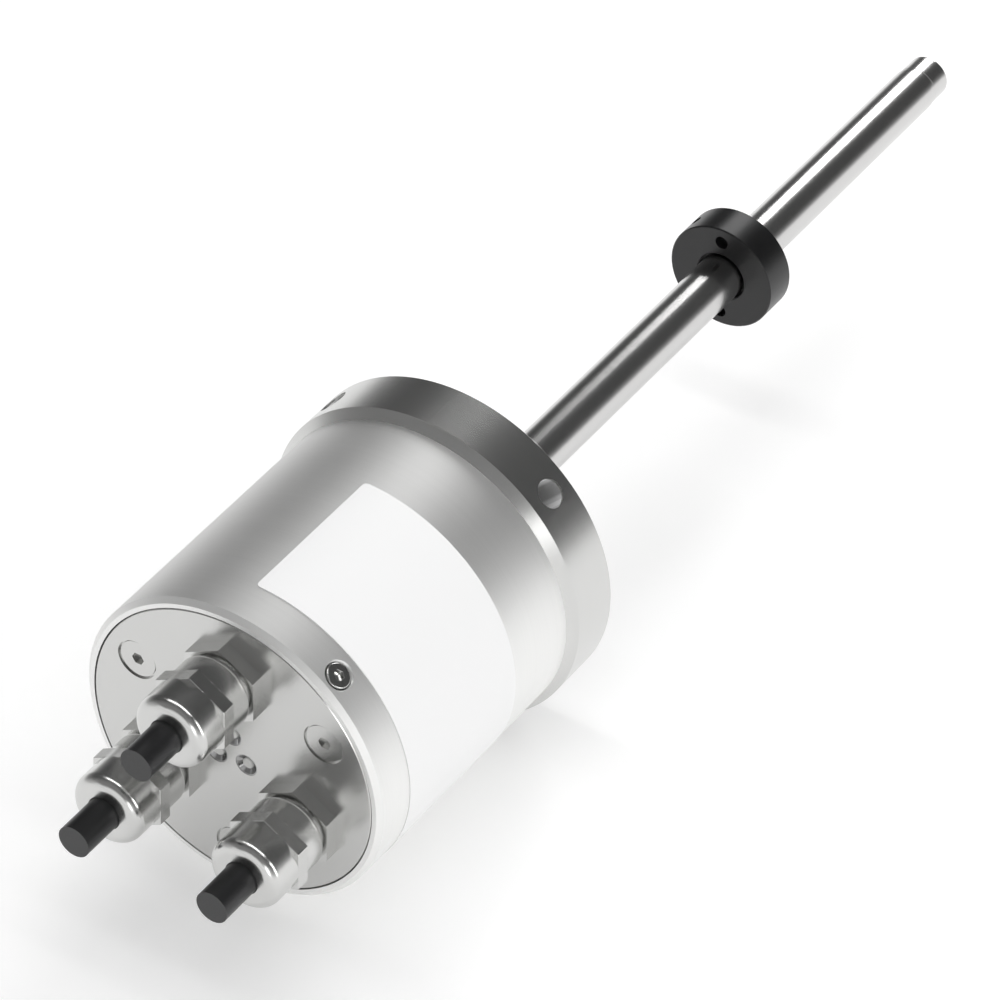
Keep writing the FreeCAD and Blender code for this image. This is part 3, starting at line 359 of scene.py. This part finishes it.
FINISHES = {
    "flange": flange_steel,
    "rod": lambda: turned_steel("rod_steel", (0.62, 0.615, 0.61), 0.22, 0.03, 0.0012, 0.000003),
    "housing": lambda: turned_steel("housing_steel", (0.89, 0.89, 0.88), 0.52, 0.04, 0.0005, 0.000008),
    "cover": lambda: turned_steel("cover_steel", (0.63, 0.63, 0.62), 0.24, 0.04, 0.0004, 0.000006, False),
    "screw": lambda: turned_steel("screw_steel", (0.62, 0.62, 0.61), 0.2, 0.04, 0.0003, 0.000004, False),
    "pillar": lambda: turned_steel("pillar_aluminium", (0.80, 0.80, 0.80), 0.25, 0.05, 0.0004, 0.000006),
    "nickel": lambda: plated("gland_nickel", (0.64, 0.64, 0.63), 0.22),
    "magnet": lambda: moulded("magnet_dark", (0.0045, 0.0045, 0.005), 0.32),
    "rubber": lambda: moulded("seal_rubber", (0.015, 0.015, 0.015), 0.6),
    "silicone": lambda: moulded("damper_rubber", (0.20, 0.05, 0.03), 0.55),
    "carrier": lambda: moulded("carrier_plastic", (0.05, 0.05, 0.055), 0.5),
    "terminal": lambda: moulded("terminal_plastic", (0.03, 0.16, 0.07), 0.45),
    "sleeve": lambda: moulded("waveguide_sleeve", (0.62, 0.60, 0.52), 0.4),
    "holder": lambda: plated("lamp_bezel", (0.42, 0.42, 0.42), 0.16),
    "cable": cable_sheath,
    "label": label_film,
    "lens": clear_lens,
    "board": board_green,
    "copper": wound_copper,
}

FINISH_OF_NODE = {
    "flange": "flange",
    "rod_tube": "rod",
    "rod_end_plug": "rod",
    "housing_tube": "housing",
    "rear_cover": "cover",
    "cover_screw": "screw",
    "cover_lock_screw": "screw",
    "board_screws": "screw",
    "tie_pillar": "pillar",
    "gland_body": "nickel",
    "gland_cap": "nickel",
    "magnet_ring": "magnet",
    "face_seal_ring": "rubber",
    "housing_oring": "rubber",
    "cover_oring": "rubber",
    "gland_oring": "rubber",
    "gland_seal": "rubber",
    "waveguide_spacer": "silicone",
    "end_damper": "silicone",
    "electronics_carrier": "carrier",
    "terminal_block": "terminal",
    "waveguide": "sleeve",
    "lamp_holder": "holder",
    "lamp_lens": "lens",
    "cable": "cable",
    "rating_label": "label",
    "circuit_board": "board",
    "pickup_coil": "copper",
}


def dress_nodes(nodes):
    """Give every CAD node its finish. A name's number, as in cable_2, is left off."""
    made = {}
    for name, obj in nodes.items():
        kind = name.rstrip("0123456789").rstrip("_")
        finish = FINISH_OF_NODE[kind]
        if finish not in made:
            made[finish] = FINISHES[finish]()
        obj.data.materials.clear()
        obj.data.materials.append(made[finish])
    return made


def sky(strength_plain):
    """Surroundings: white for the camera, for gloss and through clear pieces, and an even
    plain light on everything else."""
    world = bpy.data.worlds.new("studio_surroundings")
    bpy.context.scene.world = world
    world.use_nodes = True
    tree = world.node_tree
    tree.nodes.clear()
    path = tree.nodes.new("ShaderNodeLightPath")
    sees_white = tree.nodes.new("ShaderNodeMath")
    sees_white.operation = "MAXIMUM"
    tree.links.new(path.outputs["Is Camera Ray"], sees_white.inputs[0])
    mirrored = tree.nodes.new("ShaderNodeMath")
    mirrored.operation = "MAXIMUM"
    tree.links.new(path.outputs["Is Glossy Ray"], mirrored.inputs[0])
    tree.links.new(path.outputs["Is Transmission Ray"], mirrored.inputs[1])
    tree.links.new(mirrored.outputs[0], sees_white.inputs[1])
    strength = tree.nodes.new("ShaderNodeMapRange")
    strength.inputs["To Min"].default_value = strength_plain
    strength.inputs["To Max"].default_value = 1.0
    tree.links.new(sees_white.outputs[0], strength.inputs["Value"])
    glow = tree.nodes.new("ShaderNodeBackground")
    glow.inputs["Color"].default_value = (1.0, 1.0, 1.0, 1.0)
    tree.links.new(strength.outputs["Result"], glow.inputs["Strength"])
    out = tree.nodes.new("ShaderNodeOutputWorld")
    tree.links.new(glow.outputs[0], out.inputs["Surface"])


def soft_lamp(name, served, towards, distance, shift, width, height, radiance):
    """Rectangular soft light. It lies at a distance from a place on the rod's axis, in the
    direction towards, and is then moved by shift across that direction towards the tip. Its
    power in watts is pi times its area times its radiance."""
    out = Vector(towards).normalized()
    along = (Vector((1.0, 0.0, 0.0)) - out * out.x).normalized()
    data = bpy.data.lights.new(name, "AREA")
    data.shape = "RECTANGLE"
    data.size = width
    data.size_y = height
    data.energy = math.pi * width * height * radiance
    lamp = bpy.data.objects.new(name, data)
    bpy.context.collection.objects.link(lamp)
    turn = Matrix((along, out.cross(along), out)).transposed().to_4x4()
    place = Vector((served, 0.0, 0.0)) + out * distance + along * shift
    lamp.matrix_world = Matrix.Translation(place) @ turn


def sheet_mesh(name, points):
    """Mesh of a grid of points, an array of rows by columns by 3, with a face in each cell."""
    rows, columns = points.shape[:2]
    index = np.arange(rows * columns).reshape(rows, columns)
    corners = (index[:-1, :-1], index[1:, :-1], index[1:, 1:], index[:-1, 1:])
    faces = np.stack(corners, axis=-1).reshape(-1, 4)
    mesh = bpy.data.meshes.new(name)
    mesh.from_pydata(points.reshape(-1, 3).tolist(), [], faces.tolist())
    mesh.update()
    return mesh


def quarter(place, reach, radius, start, end, count):
    """Rows of a profile along a quarter circle about (place, reach): at angle t the place is
    place + radius cos t and the reach is reach + radius sin t, from start to end degrees."""
    t = np.radians(np.linspace(start, end, count))
    round_rows = np.full(count, np.inf)
    return np.stack((place + radius * np.cos(t), reach + radius * np.sin(t), round_rows), axis=-1)


def spun_points(profile, turn, least, half_columns=12):
    """Points of a turned piece about its own axis, as rows by columns by 3, in millimetres.
    A profile row holds the place along the axis, the radius, and the distance of a
    hexagon's flats from the axis, or infinity where the row is round. At angle a a round row
    has its own radius. A hexagon row has flats / cos d, where d is the angle from the middle
    of the nearest flat, but no more than its radius and no less than least. Columns crowd
    towards the hexagon's corners, which lie at turn and every 60 degrees from there."""
    place, reach, flats = profile.T[:, :, None]
    off = 30.0 * np.sin(np.radians(np.linspace(-90.0, 90.0, 2 * half_columns + 1)[:-1]))
    angle = np.radians((turn + 30.0 + 60.0 * np.arange(6)[:, None] + off).ravel())
    away = np.cos(np.radians(np.tile(off, 6)))
    six_sided = np.maximum(least, np.minimum(reach, np.where(np.isinf(flats), 0.0, flats) / away))
    radius = np.where(np.isinf(flats), reach, six_sided)
    return np.stack((place + 0.0 * radius, radius * np.cos(angle), radius * np.sin(angle)), axis=-1)


def closed_piece(name, points, looped):
    """Closed piece from a grid of points, rows by columns by 3. The last column joins the
    first. The last row joins the first if looped, and otherwise each end row is one point,
    whose copies are merged."""
    rows, columns = points.shape[:2]
    index = np.arange(rows * columns).reshape(rows, columns)
    beside = np.roll(index, -1, axis=1)
    below = np.roll(index, -1, axis=0)
    opposite = np.roll(beside, -1, axis=0)
    last = rows if looped else rows - 1
    corners = (index[:last], below[:last], opposite[:last], beside[:last])
    faces = np.stack(corners, axis=-1).reshape(-1, 4)
    mesh = bpy.data.meshes.new(name)
    mesh.from_pydata(points.reshape(-1, 3).tolist(), [], faces.tolist())
    welded = bmesh.new()
    welded.from_mesh(mesh)
    bmesh.ops.remove_doubles(welded, verts=welded.verts, dist=WELD_DISTANCE)
    bmesh.ops.recalc_face_normals(welded, faces=welded.faces)
    welded.to_mesh(mesh)
    welded.free()
    mesh.shade_smooth()
    mesh.set_sharp_from_angle(angle=math.radians(SMOOTH_DEGREES))
    piece = bpy.data.objects.new(name, mesh)
    bpy.context.collection.objects.link(piece)
    return piece


def spun_piece(name, profile, origin, axes, turn=0.0, least=0.0, looped=False):
    """Turned piece in place. Its points, worked out by spun_points, are carried to
    origin + t axes[0] + u axes[1] + v axes[2]. Where it isn't looped, both end rows lie on
    the axis as poles."""
    local = spun_points(profile, turn, least) * MM
    return closed_piece(name, np.asarray(origin) + local @ np.asarray(axes), looped)


def gland_nut_profile(length, mouth):
    """Outline of a gland nut, in a loop from the mouth: a quarter round into the flat face,
    a larger quarter round into the barrel, the hexagon with broken edges, and the bores."""
    round_in = quarter(NUT_MOUTH_ROUND, mouth + NUT_MOUTH_ROUND, NUT_MOUTH_ROUND, 270.0, 180.0, 12)
    nose = quarter(NUT_NOSE, NUT_FACE, NUT_NOSE, 180.0, 90.0, 25)
    edge = NUT_HEX_EDGE
    rest = np.array([
        (NUT_NOSE + edge, NUT_BARREL, np.inf),
        (NUT_HEX_START - edge, NUT_BARREL, np.inf),
        (NUT_HEX_START, NUT_BARREL, np.inf),
        (NUT_HEX_START, NUT_HEX_CORNERS - edge, NUT_HEX_FLATS - edge),
        (NUT_HEX_START + edge, NUT_HEX_CORNERS, NUT_HEX_FLATS),
        (NUT_HEX_START + 2.0 * edge, NUT_HEX_CORNERS, NUT_HEX_FLATS),
        (length - 2.0 * edge, NUT_HEX_CORNERS, NUT_HEX_FLATS),
        (length - edge, NUT_HEX_CORNERS, NUT_HEX_FLATS),
        (length, NUT_HEX_CORNERS - edge, NUT_HEX_FLATS - edge),
        (length, NUT_THREAD_BORE, np.inf),
        (length - NUT_THREAD_DEPTH, NUT_THREAD_BORE, np.inf),
        (length - NUT_THREAD_DEPTH, NUT_SEAL_BORE, np.inf),
        (length - NUT_SEAL_DEPTH, NUT_SEAL_BORE, np.inf),
        (length - NUT_SEAL_DEPTH, mouth, np.inf),
    ])
    return np.concatenate((round_in, nose, rest))


def gland_nut(n, finish):
    """Domed nut of one cable gland, about its cable."""
    front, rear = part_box("gland_cap_%d" % n)
    cable_low, cable_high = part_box("cable_%d" % n)
    axis_y = (cable_low[1] + cable_high[1]) / 2
    axis_z = (cable_low[2] + cable_high[2]) / 2
    mouth = (cable_high[2] - cable_low[2]) / 2 / MM + NUT_MOUTH_PLAY
    profile = gland_nut_profile((rear[0] - front[0]) / MM, mouth)
    origin = (front[0], axis_y, axis_z)
    nut = spun_piece("gland_nut_%d" % n, profile, origin, np.eye(3), NUT_HEX_TURN, NUT_BARREL, True)
    nut.data.materials.append(finish)
    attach(nut, "sensor")
    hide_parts("gland_cap_%d" % n)


def side_screw(finish):
    """Socket screw in the side of the tube, about a line from the axis: a pointed socket
    floor, six socket walls with a bevel at their mouth, a flat head with a rounded edge,
    and a straight side."""
    low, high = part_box("cover_lock_screw")
    tube_low, tube_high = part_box("housing_tube")
    out = np.array((0.0, math.cos(math.radians(SCREW_ANGLE)), math.sin(math.radians(SCREW_ANGLE))))
    along = np.array((1.0, 0.0, 0.0))
    top = out * ((tube_high[2] - tube_low[2]) / 2 - SCREW_SUNK * MM)
    top[0] = (low[0] + high[0]) / 2
    socket = SCREW_SOCKET * HEX_CORNER_SHARE
    bevel = SCREW_SOCKET_BEVEL
    head = np.array([
        (SCREW_SOCKET_DEPTH + SCREW_SOCKET_POINT, 0.0, np.inf),
        (SCREW_SOCKET_DEPTH, socket, SCREW_SOCKET),
        (bevel, socket, SCREW_SOCKET),
        (0.0, socket + bevel, SCREW_SOCKET + bevel),
    ])
    rim = quarter(SCREW_EDGE, SCREW_HEAD - SCREW_EDGE, SCREW_EDGE, 180.0, 90.0, 10)
    base = np.array([(SCREW_HEIGHT, SCREW_HEAD, np.inf), (SCREW_HEIGHT, 0.0, np.inf)])
    outline = np.concatenate((head, rim, base))
    screw = spun_piece("side_screw", outline, top, (-out, along, np.cross(-out, along)))
    screw.data.materials.append(finish)
    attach(screw, "sensor")
    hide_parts("cover_lock_screw")


def stud_thread(finish):
    """Ridge of the mounting thread, carried round the stud along a helix. At angle a the
    helix has moved on by pitch a / 360 degrees. Across it the ridge is a trapezium, whose
    height and width shrink to nothing over the first and the last half turn."""
    angle = np.linspace(0.0, 2.0 * math.pi * THREAD_TURNS, THREAD_STEPS * THREAD_TURNS + 1)[:, None]
    runout = np.clip(np.minimum(angle, angle[-1] - angle) / math.pi, 0.0, 1.0)
    offset = np.array([-THREAD_HALF_FOOT, -THREAD_HALF_CREST, THREAD_HALF_CREST, THREAD_HALF_FOOT]) * runout
    rise = np.array([0.0, THREAD_CREST - THREAD_ROOT, THREAD_CREST - THREAD_ROOT, 0.0]) * runout
    x = THREAD_START + THREAD_PITCH * angle / (2.0 * math.pi) + offset
    reach = THREAD_ROOT + rise
    points = np.stack((x, reach * np.cos(angle), reach * np.sin(angle)), axis=-1)
    ridge = closed_piece("stud_thread", points * MM, False)
    ridge.data.materials.append(finish)
    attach(ridge, "sensor")


def floor_paper(lit):
    """White paper that keeps its shade. Where light falls on it, it comes to the level called
    lit, a little short of white, and for the camera, gloss and clear pieces a glow makes up
    the rest."""
    f = Finish("floor_paper", (0.90, 0.90, 0.90), 0.9)
    f.shader.inputs["Specular IOR Level"].default_value = 0.0
    path = f.add("LightPath")
    mirrored = f.maths("MAXIMUM", path.outputs["Is Glossy Ray"], path.outputs["Is Transmission Ray"])
    seen = f.maths("MAXIMUM", path.outputs["Is Camera Ray"], mirrored)
    f.shader.inputs["Emission Color"].default_value = (1.0, 1.0, 1.0, 1.0)
    f.set("Emission Strength", f.maths("MULTIPLY", seen, 1.0 - lit))
    return f.mat


def ground(low, lit):
    """Plain pale floor under the sensor."""
    ends = [-FLOOR_HALF, FLOOR_HALF]
    across, along = np.meshgrid(ends, ends, indexing="ij")
    points = np.stack((across, along, np.full_like(across, low)), axis=-1)
    floor = bpy.data.objects.new("floor", sheet_mesh("floor", points))
    bpy.context.collection.objects.link(floor)
    floor.data.materials.append(floor_paper(lit))
    floor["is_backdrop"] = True


def dark_vault(reach, stations):
    """Dark cloth arched over the sensor like half a pipe along the rod, for bright metal to
    mirror. A point at angle a from +Y, and at t along X, lies at (t, R cos a, R sin a). Each
    station is a place t and the angle a at which the lower edge on the +Y side hangs there;
    the other edge is level with it. Its paint is dark at the top and grades to pale at its
    two lower edges, and all of it is paler behind the sensor. Only gloss and clear pieces
    see it. It hides nothing from the camera, throws no shade and takes no part in the plain
    light on the sensor."""
    along, lift = np.array(stations).T[:, None, :]
    share = np.linspace(0.0, 1.0, VAULT_POINTS)[:, None]
    angle = np.radians(lift + (180.0 - 2.0 * lift) * share)
    points = np.stack((along + 0.0 * angle, reach * np.cos(angle), reach * np.sin(angle)), axis=-1)
    cloth = bpy.data.objects.new("dark_vault", sheet_mesh("dark_vault", points))
    bpy.context.collection.objects.link(cloth)
    f = Finish("vault_cloth", (0.1, 0.1, 0.1), 0.9)
    f.shader.inputs["Specular IOR Level"].default_value = 0.0
    split = f.add("SeparateXYZ", Vector=f.coords)
    height = f.add("MapRange", Value=split.outputs["Z"])
    height.inputs["From Min"].default_value = VAULT_PAINT_HEIGHTS[0] * reach
    height.inputs["From Max"].default_value = VAULT_PAINT_HEIGHTS[1] * reach
    above = f.ramp(height.outputs["Result"], VAULT_PAINT)
    behind = f.ramp(height.outputs["Result"], VAULT_REAR_PAINT)
    rearward = f.add("MapRange", Value=split.outputs["X"])
    rearward.inputs["From Min"].default_value = VAULT_PAINT_CHANGE[0]
    rearward.inputs["From Max"].default_value = VAULT_PAINT_CHANGE[1]
    f.set("Base Color", f.blend(rearward.outputs["Result"], above, behind))
    cloth.data.materials.append(f.mat)
    cloth.visible_camera = False
    cloth.visible_diffuse = False
    cloth.visible_shadow = False
    cloth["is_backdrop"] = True


def camera():
    """Camera at the photograph's place, from its place, its right and its back directions."""
    right = Vector(CAMERA_RIGHT).normalized()
    back = Vector(CAMERA_BACK).normalized()
    up = back.cross(right)
    data = bpy.data.cameras.new("camera")
    data.lens = CAMERA_LENS_MM
    data.sensor_width = CAMERA_SENSOR_MM
    data.clip_start = 0.05
    data.clip_end = 20.0
    cam = bpy.data.objects.new("camera", data)
    bpy.context.collection.objects.link(cam)
    turn = Matrix((right, up, back)).transposed().to_4x4()
    cam.matrix_world = Matrix.Translation(CAMERA_PLACE) @ turn
    bpy.context.scene.camera = cam


def write_sizes(cad_box):
    """Work out the CAD model's box and the visual model's box as plain lists."""
    boxes = {"cad": cad_box, "visual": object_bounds()}
    boxes = {name: [list(corner) for corner in box] for name, box in boxes.items()}


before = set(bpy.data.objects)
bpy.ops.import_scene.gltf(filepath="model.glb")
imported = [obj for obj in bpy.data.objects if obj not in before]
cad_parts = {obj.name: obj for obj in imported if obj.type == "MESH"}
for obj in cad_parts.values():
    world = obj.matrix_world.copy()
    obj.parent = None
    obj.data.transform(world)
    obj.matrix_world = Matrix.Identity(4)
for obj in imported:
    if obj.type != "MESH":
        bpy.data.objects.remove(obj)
cad_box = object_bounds()
bpy.context.scene.view_settings.view_transform = "Standard"
finishes = dress_nodes(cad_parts)
for number in (1, 2, 3):
    gland_nut(number, finishes["nickel"])
side_screw(finishes["screw"])
stud_thread(finishes["flange"])
sky(PLAIN_LIGHT)
ground(cad_box[0][2] - FLOOR_GAP, PAPER_LEVEL)
dark_vault(VAULT_RADIUS, VAULT_STATIONS)
camera()
for lamp_name, lamp_values in SOFT_LAMPS.items():
    soft_lamp(lamp_name, *lamp_values)
write_sizes(cad_box)
